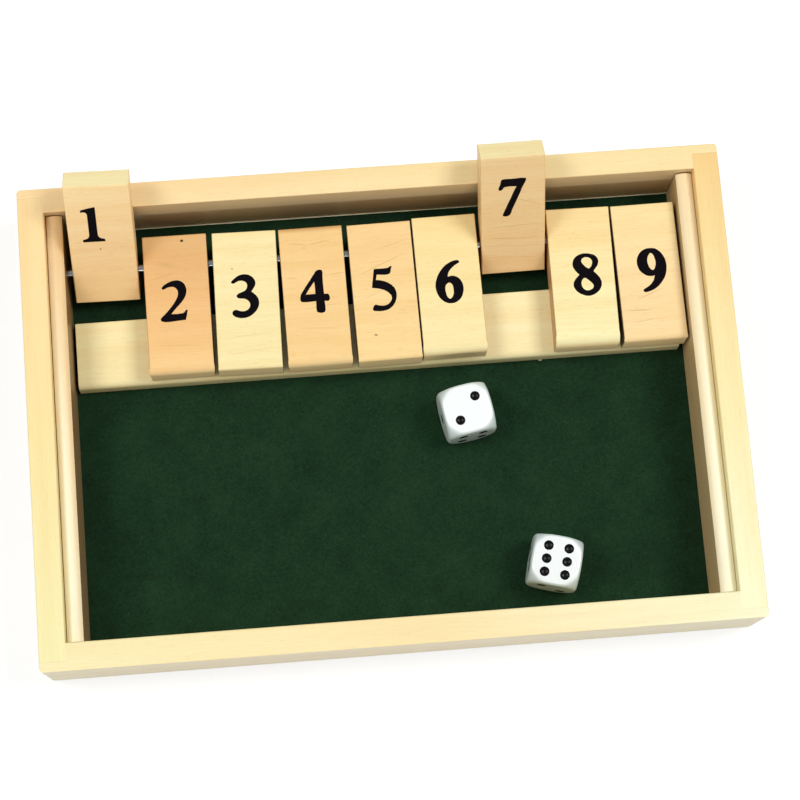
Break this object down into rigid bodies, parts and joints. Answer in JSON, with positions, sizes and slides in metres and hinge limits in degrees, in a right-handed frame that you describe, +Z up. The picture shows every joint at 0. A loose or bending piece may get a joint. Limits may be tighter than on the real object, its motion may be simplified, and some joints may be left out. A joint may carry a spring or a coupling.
{
  "type": "shut the box game",
  "caption": "Open wooden dice tray lined with felt, with a row of numbered wooden tiles that hinge on one steel rod, and a pair of dice.",
  "frame": {"origin": "centre of the box's underside", "axes": "+X to the player's right along the row of tiles, from tile 1 to tile 9; +Y from the players' side to the hinge rod at the back; +Z up"},
  "size_m": [0.225, 0.1546, 0.0471],
  "materials": {
    "rail_wood": "satin",
    "base_wood": "satin",
    "felt": "matte felt",
    "strip_wood": "satin",
    "bar_wood": "satin",
    "rod_steel": "polished",
    "tile_wood": "satin",
    "tile_wood_warm": "satin",
    "tile_wood_pale": "satin",
    "die_plastic": "gloss"
  },
  "bodies": {
    "box": {"front_rail": "rail_wood", "back_rail": "rail_wood", "left_rail": "rail_wood", "right_rail": "rail_wood", "base_board": "base_wood", "felt_lining": "felt", "left_rod_strip": "strip_wood", "right_rod_strip": "strip_wood", "tile_rest_bar": "bar_wood", "hinge_rod": "rod_steel"},
    "tile_1": {"tile_1": "tile_wood"},
    "tile_2": {"tile_2": "tile_wood_warm"},
    "tile_3": {"tile_3": "tile_wood_pale"},
    "tile_4": {"tile_4": "tile_wood_warm"},
    "tile_5": {"tile_5": "tile_wood_warm"},
    "tile_6": {"tile_6": "tile_wood_pale"},
    "tile_7": {"tile_7": "tile_wood"},
    "tile_8": {"tile_8": "tile_wood_pale"},
    "tile_9": {"tile_9": "tile_wood"},
    "die_1": {"die_1": "die_plastic"},
    "die_2": {"die_2": "die_plastic"}
  },
  "joints": [
    {"name": "tile_1_hinge", "type": "hinge", "parent": "box", "child": "tile_1", "pos_m": [0, 0.05195, 0.0152], "axis": [-1, 0, 0], "range_deg": [-128, 0]},
    {"name": "tile_2_hinge", "type": "hinge", "parent": "box", "child": "tile_2", "pos_m": [0, 0.05195, 0.0152], "axis": [-1, 0, 0], "range_deg": [0, 128]},
    {"name": "tile_3_hinge", "type": "hinge", "parent": "box", "child": "tile_3", "pos_m": [0, 0.05195, 0.0152], "axis": [-1, 0, 0], "range_deg": [0, 128]},
    {"name": "tile_4_hinge", "type": "hinge", "parent": "box", "child": "tile_4", "pos_m": [0, 0.05195, 0.0152], "axis": [-1, 0, 0], "range_deg": [0, 128]},
    {"name": "tile_5_hinge", "type": "hinge", "parent": "box", "child": "tile_5", "pos_m": [0, 0.05195, 0.0152], "axis": [-1, 0, 0], "range_deg": [0, 128]},
    {"name": "tile_6_hinge", "type": "hinge", "parent": "box", "child": "tile_6", "pos_m": [0, 0.05195, 0.0152], "axis": [-1, 0, 0], "range_deg": [0, 128]},
    {"name": "tile_7_hinge", "type": "hinge", "parent": "box", "child": "tile_7", "pos_m": [0, 0.05195, 0.0152], "axis": [-1, 0, 0], "range_deg": [-128, 0]},
    {"name": "tile_8_hinge", "type": "hinge", "parent": "box", "child": "tile_8", "pos_m": [0, 0.05195, 0.0152], "axis": [-1, 0, 0], "range_deg": [0, 128]},
    {"name": "tile_9_hinge", "type": "hinge", "parent": "box", "child": "tile_9", "pos_m": [0, 0.05195, 0.0152], "axis": [-1, 0, 0], "range_deg": [0, 128]},
    {"name": "die_1_lift", "type": "slide", "parent": "box", "child": "die_1", "axis": [0, 0, 1], "range_m": [0, 0.045]},
    {"name": "die_2_lift", "type": "slide", "parent": "box", "child": "die_2", "axis": [0, 0, 1], "range_m": [0, 0.045]}
  ]
}
